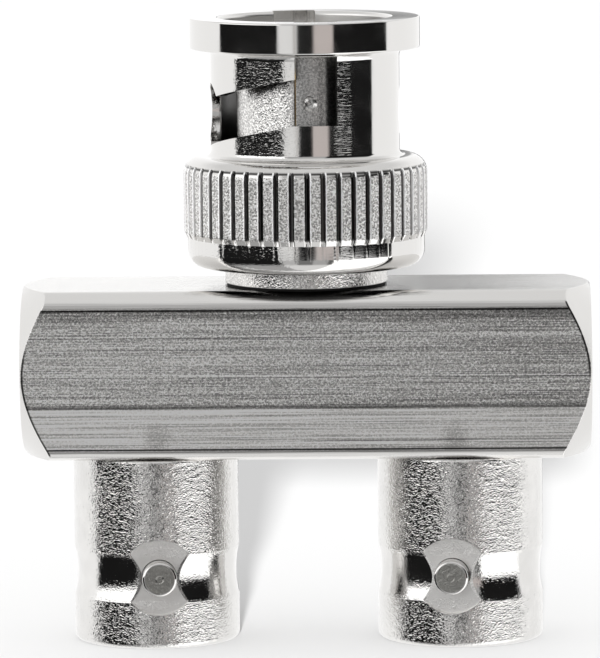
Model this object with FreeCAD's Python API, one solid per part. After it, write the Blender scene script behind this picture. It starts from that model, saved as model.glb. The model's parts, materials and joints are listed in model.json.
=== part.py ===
import FreeCAD, Part
import math
import os

# A bayonet coaxial T adapter: one plug on top of a square bar, two jacks side by side below it.
# +Z points up through the plug, X runs along the bar, and the front looks along -Y.
# The origin lies midway between the two jack mouths, on their plane. Sizes are in mm and degrees.

# Jack shells
shell_od = 9.65
shell_bore = 8.1
shell_length = 11.03
seat_depth = 8.36
rear_bore = 6.0
mouth_outer_chamfer = 0.35
mouth_inner_chamfer = 0.2
shell_rear_chamfer = 0.18
jack_spacing = 17.8

# Relief turned into each shell round its studs
waist_from_mouth = 4.1
waist_length = 2.8
waist_land = 1.0
waist_depth = 0.175

# Bayonet studs, pressed into the shells
stud_od = 2.03
stud_span = 11.0
stud_from_mouth = 4.19
stud_chamfer = 0.18
stud_turn_left = 4.0
stud_turn_right = -6.5
spot_face_od = 4.4
spot_face_depth = 0.33

# Jack insulators and socket contacts
nose_od = 4.75
nose_length = 4.95
nose_chamfer = 0.15
contact_od = 2.1
contact_bore = 1.38
contact_bore_depth = 4.2
contact_slot = 0.2
contact_slot_length = 3.0
contact_recess = 0.15
contact_length = 6.0
contact_mouth_flare = 0.08
contact_mouth_chamfer = 0.12
contact_room = 0.05
tail_od = 1.2

# Square bar with a cone turned on each end
block_length = 33.03
block_width = 9.78
block_height = 9.78
upper_arris_radius = 1.0
lower_arris_radius = 0.6
end_face_od = 9.56
end_cone_angle = 48.5
end_cone_spare = 0.5
cross_bore = 5.2
port_bore = 8.4
port_depth = 1.8
end_plug_od = 6.4
end_plug_thickness = 1.5
end_plug_chamfer = 0.15
bus_bar_od = 2.2
bus_bar_overhang = 1.5

# Plug body: a neck on the bar, then the spindle that the nut turns on
neck_od = 9.46
neck_height = 1.04
neck_chamfer = 0.1
spindle_od = 8.4
spindle_length = 3.45
body_bore = 4.0
body_floor = 0.5

# Outer contact: a collared tube with sprung fingers
tube_od = 7.96
tube_length = 9.3
tube_wall = 0.6
tube_chamfer = 0.25
collar_od = 9.4
collar_thickness = 0.6
collar_chamfer = 0.1
shank_od = 6.8
shank_bore = 5.4
shank_floor = 0.5
finger_count = 4
finger_slot = 0.2
finger_length = 7.2
finger_turn = -7.0
stake_od = 0.88
stake_depth = 0.15
stake_turn = 5.2
stake_from_tip = 3.62

# Plug pin and insulator
pin_od = 1.35
pin_tip_recess = 1.9
pin_tip_chamfer = 0.3
pin_shank_od = 2.0
pin_collar_od = 2.4
pin_collar_length = 1.6
cavity_depth = 5.3

# Gasket that a mated jack presses on
gasket_height = 1.0
gasket_width = 0.75
gasket_groove_depth = 0.2
gasket_groove_spare = 0.1
gasket_chamfer = 0.2

# Coupling nut
nut_length = 14.47
nut_bore = 9.8
nut_skirt_od = 13.84
nut_skirt_rounding = 0.95
rear_lip = 1.45
sleeve_od = 11.0
sleeve_foot_fillet = 0.35
shoulder_from_front = 8.04
shoulder_rounding = 1.0
flange_od = 13.4
flange_thickness = 1.8
flange_chamfer = 0.1
flange_fillet = 0.48
entry_chamfer = 0.25
rear_bore_chamfer = 0.15

# Straight knurl round the nut
knurl_od = 14.2
knurl_from_rear = 1.73
knurl_length = 4.22
knurl_teeth = 49
tooth_end_bevel = 0.35
groove_top = 0.4
groove_floor = 0.18
groove_depth = 0.33
groove_runout = 0.3

# Bayonet track: an entry channel, a ramp and a round seat, twice round the nut
track_count = 2
channel_width = 2.46
channel_od = 11.2
channel_turn = 8.0
channel_depth = 5.96
ramp_height = 2.68
ramp_pitch = 6.73
seat_turn = 90.0
seat_od = 3.4
seat_from_front = 5.48

# Spring stack inside the nut
nut_travel = 0.6
running_gap = 0.05
washer_thickness = 0.3
spring_thickness = 0.2
spring_waves = 3
spring_points_per_wave = 8
spring_slack = 0.02
ring_chamfer = 0.05
ring_thickness = 0.5
ring_groove_depth = 0.45
ring_gap = 24.0
stack_margin = 0.1

# Levels that follow from the sizes above
bar_bottom = shell_length
bar_top = bar_bottom + block_height
bar_axis = bar_bottom + block_height / 2
neck_top = bar_top + neck_height
spindle_top = neck_top + spindle_length
tube_base = spindle_top + collar_thickness
tube_tip = tube_base + tube_length
nut_rear = neck_top + running_gap
nut_front = nut_rear + nut_length
ledge = nut_rear + rear_lip
washer_bottom = ledge + running_gap
washer_top = washer_bottom + washer_thickness
spring_bottom = washer_top + running_gap
spring_height = nut_travel + spring_thickness + spring_slack
spring_top = spring_bottom + spring_height
ring_bottom = spring_top
ring_top = ring_bottom + ring_thickness
cavity_floor = tube_tip - cavity_depth
shank_bottom = neck_top + body_floor
pin_collar_top = shank_bottom + pin_collar_length
tail_reach = bus_bar_od / 2
stack_bore_r = spindle_od / 2 + stack_margin / 2
stack_rim_r = nut_bore / 2 - stack_margin
jack_places = {"left": (-jack_spacing / 2, stud_turn_left), "right": (jack_spacing / 2, stud_turn_right)}
stud_faces = {"front": 0, "back": 180}

UP = FreeCAD.Vector(0, 0, 1)
ALONG = FreeCAD.Vector(1, 0, 0)
CENTRE = FreeCAD.Vector(0, 0, 0)
# The roundings at the two ends of a side take at most this share of it, and a small one is a chamfer.
ROUNDING_SHARE = 0.95
CHAMFER_BELOW = 0.5


def at(x, y, z):
    return FreeCAD.Vector(x, y, z)


def outline(corners):
    """Closed face in the XZ plane through corners (r, z, size of the edge); an edge of 0 stays sharp."""
    points = [at(r, 0, z) for r, z, _ in corners]
    count = len(points)
    sides = [points[(i + 1) % count] - points[i] for i in range(count)]
    halves = [sides[i].getAngle(sides[i - 1] * -1) / 2 for i in range(count)]
    wanted = [corners[i][2] / math.tan(halves[i]) for i in range(count)]
    edges = []
    stretches = []
    for i, (_, _, size) in enumerate(corners):
        if size > 0:
            room_before = ROUNDING_SHARE * sides[i - 1].Length / (wanted[i - 1] + wanted[i])
            room_after = ROUNDING_SHARE * sides[i].Length / (wanted[i] + wanted[(i + 1) % count])
            reach = wanted[i] * min(1, room_before, room_after)
            back = sides[i - 1] * (-1 / sides[i - 1].Length)
            onward = sides[i] * (1 / sides[i].Length)
            start = points[i] + back * reach
            end = points[i] + onward * reach
            stretches.append((start, end))
            if size < CHAMFER_BELOW:
                edges.append(Part.makeLine(start, end))
            else:
                radius = reach * math.tan(halves[i])
                inward = (back + onward).normalize()
                middle = points[i] + inward * (radius / math.sin(halves[i]) - radius)
                edges.append(Part.Arc(start, middle, end).toShape())
        else:
            stretches.append((points[i], points[i]))
    for i, (start, _) in enumerate(stretches):
        leaving = stretches[i - 1][1]
        edges.append(Part.makeLine(leaving, start))
    return Part.Face(Part.Wire(Part.__sortEdges__(edges)))


def turned(corners):
    """Solid of revolution about Z from an outline of (r, z, size of the edge) corners."""
    return outline(corners).revolve(CENTRE, UP, 360)


def rod(diameter, bottom, top):
    return Part.makeCylinder(diameter / 2, top - bottom, at(0, 0, bottom))


def turned_to(shape, angle):
    """Copy of a shape that faces the front, turned about Z."""
    copy = shape.copy()
    copy.rotate(CENTRE, UP, angle)
    return copy


def moved_to(shape, x):
    copy = shape.copy()
    copy.translate(at(x, 0, 0))
    return copy


def rod_along_x(diameter, start, end, height):
    return Part.makeCylinder(diameter / 2, end - start, at(start, 0, height), ALONG)


def rod_to_front(diameter, near, far, height):
    """Cylinder along -Y, from one distance in front of the axis to another."""
    return Part.makeCylinder(diameter / 2, far - near, at(0, -near, height), at(0, -1, 0))


def body_block():
    bar = Part.makeBox(block_length, block_width, block_height,
                       at(-block_length / 2, -block_width / 2, bar_bottom))
    long_edges = [edge for edge in bar.Edges if abs(edge.tangentAt(edge.FirstParameter).x) > 0.99]
    upper = [edge for edge in long_edges if edge.CenterOfMass.z > bar_axis]
    bar = bar.makeFillet(upper_arris_radius, upper)
    bottom_face = min(bar.Faces, key=lambda face: face.CenterOfMass.z)
    lower = [edge for edge in bottom_face.Edges if abs(edge.tangentAt(edge.FirstParameter).x) > 0.99]
    bar = bar.makeFillet(lower_arris_radius, lower)
    # The cones are turned about the bar's own axis, so they leave a curve on each flat.
    widest = math.hypot(block_width, block_height) / 2 + end_cone_spare
    cone_length = (widest - end_face_od / 2) / math.tan(math.radians(end_cone_angle))
    for side in (-1, 1):
        end = side * block_length / 2
        root = side * (block_length / 2 - cone_length)
        tip = Part.makeCone(widest, end_face_od / 2, cone_length, at(root, 0, bar_axis), at(side, 0, 0))
        stub = Part.makeBox(cone_length, 2 * widest, 2 * widest,
                            at(min(root, end), -widest, bar_axis - widest))
        bar = bar.cut(stub.cut(tip))
    bores = [rod_along_x(cross_bore, -block_length / 2, block_length / 2, bar_axis)]
    for side in (-1, 1):
        outside = side * block_length / 2
        inside = side * (block_length / 2 - end_plug_thickness)
        bores.append(rod_along_x(end_plug_od, min(inside, outside), max(inside, outside), bar_axis))
    for x, _ in jack_places.values():
        bores.append(moved_to(rod(port_bore, bar_bottom, bar_bottom + port_depth), x))
        bores.append(moved_to(rod(cross_bore, bar_bottom, bar_axis), x))
    bores.append(rod(port_bore, bar_top - port_depth, bar_top))
    bores.append(rod(body_bore, bar_axis, bar_top))
    return bar.cut(Part.makeCompound(bores))


def end_plug(side):
    outside = block_length / 2
    inside = outside - end_plug_thickness
    plug = outline([
        (0, inside, 0),
        (end_plug_od / 2, inside, 0),
        (end_plug_od / 2, outside, end_plug_chamfer),
        (0, outside, 0),
    ]).revolve(CENTRE, UP, 360)
    plug.rotate(CENTRE, at(0, 1, 0), 90 * side)
    plug.translate(at(0, 0, bar_axis))
    return plug


def bus_bar():
    reach = jack_spacing / 2 + bus_bar_overhang
    bar = rod_along_x(bus_bar_od, -reach, reach, bar_axis)
    low = bar_axis - tail_reach
    high = bar_axis + tail_reach
    holes = [moved_to(rod(tail_od, low, high), x) for x, _ in jack_places.values()]
    holes.append(rod(tail_od, low, high))
    return bar.cut(Part.makeCompound(holes))


def jack_shell(turn):
    shell_r = shell_od / 2
    waist_r = shell_r - waist_depth
    spigot_r = port_bore / 2
    shell = turned([
        (shell_bore / 2, 0, mouth_inner_chamfer),
        (shell_r, 0, mouth_outer_chamfer),
        (shell_r, waist_from_mouth - waist_length / 2, 0),
        (waist_r, waist_from_mouth - waist_land / 2, 0),
        (waist_r, waist_from_mouth + waist_land / 2, 0),
        (shell_r, waist_from_mouth + waist_length / 2, 0),
        (shell_r, shell_length, shell_rear_chamfer),
        (spigot_r, shell_length, 0),
        (spigot_r, shell_length + port_depth, 0),
        (rear_bore / 2, shell_length + port_depth, 0),
        (rear_bore / 2, seat_depth, 0),
        (shell_bore / 2, seat_depth, 0),
    ])
    for facing in stud_faces.values():
        spot_face = rod_to_front(spot_face_od, shell_r - spot_face_depth, shell_od, stud_from_mouth)
        stud_hole = rod_to_front(stud_od, 0, shell_od, stud_from_mouth)
        for tool in (spot_face, stud_hole):
            shell = shell.cut(turned_to(tool, turn + facing))
    return shell


def bayonet_stud(turn):
    """One stud, from just inside the shell's bore to its rounded outer face."""
    inner = shell_bore / 2 + contact_room
    outer = stud_span / 2
    stud = turned([
        (0, inner, 0),
        (stud_od / 2, inner, 0),
        (stud_od / 2, outer, stud_chamfer),
        (0, outer, 0),
    ])
    stud.rotate(CENTRE, ALONG, 90)
    stud.translate(at(0, 0, stud_from_mouth))
    return turned_to(stud, turn)


def jack_insulator():
    nose_face = seat_depth - nose_length
    rear = shell_length + port_depth
    contact_end = nose_face + contact_recess + contact_length
    room_r = contact_od / 2 + contact_room
    slots_end = nose_face + contact_recess + contact_slot_length
    return turned([
        (room_r, nose_face, 0),
        (nose_od / 2, nose_face, nose_chamfer),
        (nose_od / 2, seat_depth, 0),
        (rear_bore / 2, seat_depth, 0),
        (rear_bore / 2, rear, 0),
        (tail_od / 2, rear, 0),
        (tail_od / 2, contact_end, 0),
        (contact_od / 2, contact_end, 0),
        (contact_od / 2, slots_end, 0),
        (room_r, slots_end, 0),
    ])


def jack_contact():
    """Slotted socket with a tail that reaches through the bus bar."""
    mouth = seat_depth - nose_length + contact_recess
    end = mouth + contact_length
    contact = turned([
        (contact_bore / 2, mouth, contact_mouth_flare),
        (contact_od / 2, mouth, contact_mouth_chamfer),
        (contact_od / 2, end, 0),
        (tail_od / 2, end, 0),
        (tail_od / 2, bar_axis + tail_reach, 0),
        (0, bar_axis + tail_reach, 0),
        (0, mouth + contact_bore_depth, 0),
        (contact_bore / 2, mouth + contact_bore_depth, 0),
    ])
    slot = Part.makeBox(2 * contact_od, contact_slot, contact_slot_length,
                        at(-contact_od, -contact_slot / 2, mouth))
    return contact.cut(slot)


def plug_body():
    spindle_r = spindle_od / 2
    groove_r = spindle_r - ring_groove_depth
    return turned([
        (body_bore / 2, bar_top - port_depth, 0),
        (port_bore / 2, bar_top - port_depth, 0),
        (port_bore / 2, bar_top, 0),
        (neck_od / 2, bar_top, 0),
        (neck_od / 2, neck_top, neck_chamfer),
        (spindle_r, neck_top, 0),
        (spindle_r, ring_bottom, 0),
        (groove_r, ring_bottom, 0),
        (groove_r, ring_top, 0),
        (spindle_r, ring_top, 0),
        (spindle_r, spindle_top, 0),
        (shank_od / 2, spindle_top, 0),
        (shank_od / 2, shank_bottom, 0),
        (body_bore / 2, shank_bottom, 0),
    ])


def outer_contact():
    tube_r = tube_od / 2
    bore_r = tube_r - tube_wall
    groove_r = tube_r - gasket_groove_depth
    groove_top_level = tube_base + gasket_height + gasket_groove_spare
    tube = turned([
        (shank_bore / 2, shank_bottom, 0),
        (shank_od / 2, shank_bottom, 0),
        (shank_od / 2, spindle_top, 0),
        (collar_od / 2, spindle_top, 0),
        (collar_od / 2, tube_base, collar_chamfer),
        (groove_r, tube_base, 0),
        (groove_r, groove_top_level, 0),
        (tube_r, groove_top_level, 0),
        (tube_r, tube_tip, tube_chamfer),
        (bore_r, tube_tip, tube_chamfer),
        (bore_r, tube_base + shank_floor, 0),
        (shank_bore / 2, tube_base + shank_floor, 0),
    ])
    slot = Part.makeBox(finger_slot, 2 * tube_r, finger_length,
                        at(-finger_slot / 2, -2 * tube_r, tube_tip - finger_length))
    tools = [turned_to(slot, finger_turn + i * 360 / finger_count) for i in range(finger_count)]
    # Two stake marks, punched in through the nut's entry channels to hold the insulator.
    ball_r = (stake_od ** 2 / 4 + stake_depth ** 2) / (2 * stake_depth)
    ball = Part.makeSphere(ball_r, at(0, -(tube_r + ball_r - stake_depth), tube_tip - stake_from_tip))
    tools += [turned_to(ball, stake_turn + i * 360 / track_count) for i in range(track_count)]
    return tube.cut(Part.makeCompound(tools))


def plug_insulator():
    bore_r = tube_od / 2 - tube_wall
    step = tube_base + shank_floor
    return turned([
        (pin_collar_od / 2, shank_bottom, 0),
        (shank_bore / 2, shank_bottom, 0),
        (shank_bore / 2, step, 0),
        (bore_r, step, 0),
        (bore_r, cavity_floor, 0),
        (pin_shank_od / 2, cavity_floor, 0),
        (pin_shank_od / 2, pin_collar_top, 0),
        (pin_collar_od / 2, pin_collar_top, 0),
    ])


def plug_pin():
    return turned([
        (0, bar_axis - tail_reach, 0),
        (tail_od / 2, bar_axis - tail_reach, 0),
        (tail_od / 2, shank_bottom, 0),
        (pin_collar_od / 2, shank_bottom, 0),
        (pin_collar_od / 2, pin_collar_top, 0),
        (pin_shank_od / 2, pin_collar_top, 0),
        (pin_shank_od / 2, cavity_floor, 0),
        (pin_od / 2, cavity_floor, 0),
        (pin_od / 2, tube_tip - pin_tip_recess, pin_tip_chamfer),
        (0, tube_tip - pin_tip_recess, 0),
    ])


def plug_gasket():
    inner_r = tube_od / 2 - gasket_groove_depth
    outer_r = inner_r + gasket_width
    return turned([
        (inner_r, tube_base, 0),
        (outer_r, tube_base, gasket_chamfer),
        (outer_r, tube_base + gasket_height, gasket_chamfer),
        (inner_r, tube_base + gasket_height, 0),
    ])


def flat_ring(inner_r, outer_r, bottom, top):
    return turned([
        (inner_r, bottom, 0),
        (outer_r, bottom, ring_chamfer),
        (outer_r, top, ring_chamfer),
        (inner_r, top, 0),
    ])


def thrust_washer():
    return flat_ring(stack_bore_r, stack_rim_r, washer_bottom, washer_top)


def retaining_ring():
    """Open ring snapped into the spindle's groove."""
    groove_r = spindle_od / 2 - ring_groove_depth
    ring = flat_ring(groove_r, stack_rim_r, ring_bottom, ring_top)
    width = 2 * stack_rim_r * math.sin(math.radians(ring_gap / 2))
    opening = Part.makeBox(width, 2 * stack_rim_r, ring_thickness, at(-width / 2, 0, ring_bottom))
    return ring.cut(opening)


def wave_edge(radius, height):
    """Closed wavy line round the spindle, at a radius and a mean height."""
    sway = (spring_height - spring_thickness) / 2
    steps = spring_waves * spring_points_per_wave
    points = []
    for i in range(steps):
        angle = 2 * math.pi * i / steps
        points.append(at(radius * math.cos(angle), radius * math.sin(angle),
                         height + sway * math.cos(spring_waves * angle)))
    curve = Part.BSplineCurve()
    curve.interpolate(points, PeriodicFlag=True)
    return curve.toShape()


def wave_spring():
    middle = spring_bottom + spring_height / 2
    low = middle - spring_thickness / 2
    high = middle + spring_thickness / 2
    rings = [
        wave_edge(stack_bore_r, low),
        wave_edge(stack_rim_r, low),
        wave_edge(stack_rim_r, high),
        wave_edge(stack_bore_r, high),
    ]
    faces = [Part.makeRuledSurface(rings[i - 1], rings[i]) for i in range(4)]
    shell = Part.makeShell(faces)
    shell.sewShape()
    spring = Part.Solid(Part.Shell(shell.Faces))
    if spring.Volume < 0:
        spring.reverse()
    return spring


def knurl_groove():
    """One groove facing the front: flared sides, and an end that runs out to the surface."""
    outer = knurl_od / 2
    floor = outer - groove_depth
    bottom = nut_rear + knurl_from_rear
    top = bottom + knurl_length
    clear = outer + groove_depth
    flare = (groove_top - groove_floor) / 2 / groove_depth
    half_floor = groove_floor / 2
    half_clear = half_floor + flare * (clear - floor)
    section = Part.makePolygon([
        at(-half_floor, -floor, bottom),
        at(half_floor, -floor, bottom),
        at(half_clear, -clear, bottom),
        at(-half_clear, -clear, bottom),
        at(-half_floor, -floor, bottom),
    ])
    flared = Part.Face(section).extrude(at(0, 0, knurl_length))
    side = Part.makePolygon([
        at(-groove_top, -floor, bottom),
        at(-groove_top, -clear, bottom),
        at(-groove_top, -clear, top),
        at(-groove_top, -outer, top),
        at(-groove_top, -floor, top - groove_runout),
        at(-groove_top, -floor, bottom),
    ])
    return flared.common(Part.Face(side).extrude(at(2 * groove_top, 0, 0)))


def bayonet_track():
    """Entry channel, ramp and round seat for one stud, with the channel facing the front."""
    channel_bottom = nut_front - channel_depth
    channel = Part.makeBox(channel_width, channel_od, channel_depth,
                           at(-channel_width / 2, -channel_od, channel_bottom))
    channel = channel.common(rod(channel_od, channel_bottom, nut_front))
    # The ramp is level with the channel's floor at the channel's edge, and falls as it goes round.
    edge_turn = math.degrees(math.asin(channel_width / sleeve_od))
    fall = ramp_pitch * (seat_turn - edge_turn) / 360
    low_end = channel_bottom + ramp_height / 2 - fall
    middle = (nut_bore + sleeve_od) / 4
    helix = Part.makeHelix(ramp_pitch, ramp_pitch * seat_turn / 360, middle)
    overcut = (sleeve_od - nut_bore) / 4
    inner = nut_bore / 2 - overcut
    outer = sleeve_od / 2 + overcut
    section = Part.makePolygon([
        at(inner, 0, -ramp_height / 2),
        at(outer, 0, -ramp_height / 2),
        at(outer, 0, ramp_height / 2),
        at(inner, 0, ramp_height / 2),
        at(inner, 0, -ramp_height / 2),
    ])
    ramp = Part.Wire(helix.Edges).makePipeShell([section], True, True)
    ramp.rotate(CENTRE, UP, -90 - seat_turn)
    ramp.translate(at(0, 0, low_end))
    seat = rod_to_front(seat_od, inner, outer, nut_front - seat_from_front)
    return [channel, ramp, turned_to(seat, -seat_turn)]


def coupling_nut():
    knurl_bottom = nut_rear + knurl_from_rear
    shoulder = nut_front - shoulder_from_front
    flange_bottom = nut_front - flange_thickness
    rear_bore_r = spindle_od / 2 + stack_margin
    nut = turned([
        (rear_bore_r, nut_rear, rear_bore_chamfer),
        (nut_skirt_od / 2, nut_rear, nut_skirt_rounding),
        (nut_skirt_od / 2, knurl_bottom, 0),
        (knurl_od / 2, knurl_bottom + tooth_end_bevel, 0),
        (knurl_od / 2, shoulder, shoulder_rounding),
        (sleeve_od / 2, shoulder, sleeve_foot_fillet),
        (sleeve_od / 2, flange_bottom, flange_fillet),
        (flange_od / 2, flange_bottom, flange_chamfer),
        (flange_od / 2, nut_front, flange_chamfer),
        (nut_bore / 2, nut_front, entry_chamfer),
        (nut_bore / 2, ledge, 0),
        (rear_bore_r, ledge, 0),
    ])
    groove = knurl_groove()
    grooves = [turned_to(groove, i * 360 / knurl_teeth) for i in range(knurl_teeth)]
    nut = nut.cut(Part.makeCompound(grooves))
    for i in range(track_count):
        for tool in bayonet_track():
            nut = nut.cut(turned_to(tool, channel_turn + i * 360 / track_count))
    return nut


def save(name, shape):
    if shape.ShapeType == "Compound" and len(shape.Solids) == 1:
        shape = shape.Solids[0]
    shape.exportStep(os.path.join("parts", name + ".step"))
    print("%-22s %d solid  %8.2f mm3  valid %s" % (name, len(shape.Solids), shape.Volume, shape.isValid()))


os.makedirs("parts", exist_ok=True)
save("body_block", body_block())
save("end_plug_left", end_plug(-1))
save("end_plug_right", end_plug(1))
save("bus_bar", bus_bar())
save("plug_body", plug_body())
save("outer_contact", outer_contact())
save("plug_insulator", plug_insulator())
save("plug_pin", plug_pin())
save("plug_gasket", plug_gasket())
save("coupling_nut", coupling_nut())
save("thrust_washer", thrust_washer())
save("wave_spring", wave_spring())
save("retaining_ring", retaining_ring())
for place, (x, turn) in jack_places.items():
    save("jack_shell_" + place, moved_to(jack_shell(turn), x))
    save("jack_insulator_" + place, moved_to(jack_insulator(), x))
    save("jack_contact_" + place, moved_to(jack_contact(), x))
    for face, facing in stud_faces.items():
        save("stud_" + place + "_" + face, moved_to(bayonet_stud(turn + facing), x))
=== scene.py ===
# %% [markdown]
# # A bayonet T adapter in nickel plate
#
# This notebook dresses a small coaxial T adapter: a square bar with a bayonet plug on top and two
# bayonet jacks below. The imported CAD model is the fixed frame. Every piece that shows is turned,
# cut or milled again here with a much finer surface, because polished metal shows each flat of a
# coarse mesh in its reflections. The frame says where each piece goes, so nothing is fitted by eye.

# %% Load the frame
import json
import math
from contextlib import contextmanager

import bpy
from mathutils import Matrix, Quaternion, Vector

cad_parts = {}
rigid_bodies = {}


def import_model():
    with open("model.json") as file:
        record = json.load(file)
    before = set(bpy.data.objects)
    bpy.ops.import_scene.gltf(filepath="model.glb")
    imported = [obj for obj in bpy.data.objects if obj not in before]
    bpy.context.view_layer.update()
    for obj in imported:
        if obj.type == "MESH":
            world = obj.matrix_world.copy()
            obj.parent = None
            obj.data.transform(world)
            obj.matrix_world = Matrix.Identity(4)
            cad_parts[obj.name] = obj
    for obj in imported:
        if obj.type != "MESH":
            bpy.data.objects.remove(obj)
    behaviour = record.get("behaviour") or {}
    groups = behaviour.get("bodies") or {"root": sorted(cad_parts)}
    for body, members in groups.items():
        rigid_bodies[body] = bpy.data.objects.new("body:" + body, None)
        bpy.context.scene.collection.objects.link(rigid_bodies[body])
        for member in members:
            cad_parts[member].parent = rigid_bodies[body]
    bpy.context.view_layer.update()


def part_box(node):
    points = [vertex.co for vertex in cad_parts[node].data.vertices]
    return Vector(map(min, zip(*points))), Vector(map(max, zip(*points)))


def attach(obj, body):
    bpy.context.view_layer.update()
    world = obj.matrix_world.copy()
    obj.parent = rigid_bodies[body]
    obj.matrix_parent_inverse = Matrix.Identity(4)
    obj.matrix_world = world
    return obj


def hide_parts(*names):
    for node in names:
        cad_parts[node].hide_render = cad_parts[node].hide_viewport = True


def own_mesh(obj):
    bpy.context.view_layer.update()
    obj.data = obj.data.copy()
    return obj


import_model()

# %% [markdown]
# ## Levels taken from the frame
#
# Blender works in metres, but a turner thinks in millimetres. The levels below are read from the
# boxes of the CAD nodes and kept in millimetres, and each piece is scaled once, as it is drawn.

# %% Levels of the pieces, in mm
MM = 0.001


def span(node):
    """Lowest and highest corner of a CAD node, in mm."""
    low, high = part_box(node)
    return low / MM, high / MM


def toward(azimuth, elevation):
    """Direction of an azimuth from the front and an elevation, both in degrees."""
    azimuth = math.radians(azimuth)
    elevation = math.radians(elevation)
    return Vector((
        math.sin(azimuth) * math.cos(elevation),
        -math.cos(azimuth) * math.cos(elevation),
        math.sin(elevation),
    ))


bar_low, bar_high = span("body_block")
nut_low, nut_high = span("coupling_nut")
shell_low, shell_high = span("jack_shell_left")
pin_low, pin_high = span("plug_pin")
bar_axis = (bar_low.z + bar_high.z) / 2
bar_length = bar_high.x - bar_low.x
bar_side = bar_high.z - bar_low.z
jack_places = {
    "left": (shell_low.x + shell_high.x) / 2,
    "right": -(shell_low.x + shell_high.x) / 2,
}
print("bar %.2f long, %.2f square, axis at %.2f" % (bar_length, bar_side, bar_axis))
print("jacks at", jack_places)

# %% [markdown]
# ## Camera
#
# The photograph was taken from about a third of a metre away, so the rims at the top look flatter
# than the mouths at the bottom. The camera looks slightly down at the adapter, and the object leans
# half a degree to the left in the picture, so the camera is rolled half a degree the other way.

# %% Camera at the photograph's angle
camera_distance = 343 * MM
camera_azimuth = 1.15
camera_elevation = 6.7
camera_roll = math.radians(-0.5)
pixels_per_mm = 17.126
picture_width = 600
picture_height = 658
aim_pixel = (306.76, 330.65)
aim_point = Vector((0, 0, 18 * MM))

toward_camera = toward(camera_azimuth, camera_elevation)
camera_data = bpy.data.cameras.new("camera")
camera = bpy.data.objects.new("camera", camera_data)
bpy.context.scene.collection.objects.link(camera)
bpy.context.scene.camera = camera
camera_data.sensor_width = 36
camera_data.lens = pixels_per_mm * (camera_distance / MM) / picture_height * camera_data.sensor_width
camera_data.clip_start = 0.01
camera_data.clip_end = 50
upright = toward_camera.to_track_quat("Z", "Y")
facing = Quaternion(toward_camera, camera_roll) @ upright
across = facing @ Vector((1, 0, 0))
upward = facing @ Vector((0, 1, 0))
move_left = (aim_pixel[0] - picture_width / 2) / pixels_per_mm * MM
move_up = (aim_pixel[1] - picture_height / 2) / pixels_per_mm * MM
camera.rotation_mode = "QUATERNION"
camera.rotation_quaternion = facing
camera.location = aim_point + toward_camera * camera_distance - across * move_left + upward * move_up
print("lens %.0f mm, camera at" % camera_data.lens, [round(c, 4) for c in camera.location])

# %% [markdown]
# ## Light
#
# Polished nickel has no colour of its own to speak of: it shows the room. The room is painted on
# the world by direction, as a product photographer builds it from white paper, a dark studio and a
# few long softboxes. White paper lies behind the object, the studio in front of it is dark, and two
# large softboxes stand high on the left and low on the right. Working by direction keeps the
# reflections the same from every side, and no card stands in another camera's way.

# %% Helpers for shader nodes


def tree_of(values):
    """The node tree that the first socket among some values belongs to."""
    return next(value.id_data for value in values if isinstance(value, bpy.types.NodeSocket))


def add_node(kind, inputs, tree=None, **settings):
    """A shader node with its settings. Its inputs are values or the sockets that feed them, and
    the sockets say which tree it goes into."""
    tree = tree or tree_of(inputs.values())
    node = tree.nodes.new("ShaderNode" + kind)
    for name, value in settings.items():
        setattr(node, name, value)
    for name, value in inputs.items():
        if isinstance(value, bpy.types.NodeSocket):
            tree.links.new(value, node.inputs[name])
        else:
            node.inputs[name].default_value = value
    return node


def maths(operation, first, second=0.0):
    """Result of one operation on sockets or numbers."""
    return add_node("Math", {0: first, 1: second}, operation=operation).outputs[0]


def times(*values):
    """Product of two or more values."""
    result = values[0]
    for value in values[1:]:
        result = maths("MULTIPLY", result, value)
    return result


def less(first, second):
    """First value less the second."""
    return maths("SUBTRACT", first, second)


def gap(first, second):
    """Distance between two values."""
    return maths("ABSOLUTE", less(first, second))


def faded(mask, share=1.0):
    """One less a share of a mask."""
    return less(1.0, times(mask, share))


def distance(across, along):
    """Distance from an axis, from two offsets square to it."""
    return maths("SQRT", maths("ADD", times(across, across), times(along, along)))


def rgba(shade):
    """A grey or a colour with its alpha. A socket stays as it is."""
    if isinstance(shade, bpy.types.NodeSocket):
        return shade
    return (*shade, 1) if isinstance(shade, tuple) else (shade, shade, shade, 1)


def ramp(factor, stops):
    """Colour ramp from (position, grey or colour) stops."""
    node = add_node("ValToRGB", {"Fac": factor})
    elements = node.color_ramp.elements
    while len(elements) < len(stops):
        elements.new(1.0)
    for element, (position, shade) in zip(elements, stops):
        element.position = position
        element.color = rgba(shade)
    return node.outputs["Color"]


def mixed(factor, first, second, blend="MIX"):
    """Two colours or greys, mixed by a factor."""
    # The colour inputs of this node are numbers 6 and 7.
    inputs = {0: factor, 6: rgba(first), 7: rgba(second)}
    return add_node("Mix", inputs, data_type="RGBA", blend_type=blend).outputs[2]


print("node helpers ready")

# %% The studio, painted by direction
DARK = 0.012
PAPER = 1.15
SOFTBOX = 1.7
WHITE_STRIP = 0.95
WARM_STRIP = (0.16, 0.12, 0.09)
PINK_STRIP = (0.66, 0.60, 0.58)


def by_angle(angle, marks):
    """Shade that changes at given angles, in degrees from -180 to 180, over one degree."""
    position = maths("ADD", maths("DIVIDE", angle, 360), 0.5)
    stops = []
    edge = 0.5
    for start, shade in marks:
        if stops:
            stops.append(((start - edge) / 360 + 0.5, stops[-1][1]))
        stops.append((max((start + edge) / 360 + 0.5, 0.0), shade))
    return ramp(position, stops)


def between_angles(angle, start, end):
    """Goes from 0 to 1 between two angles."""
    node = add_node("MapRange", {"Value": angle, "From Min": start, "From Max": end})
    return node.outputs["Result"]


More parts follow.
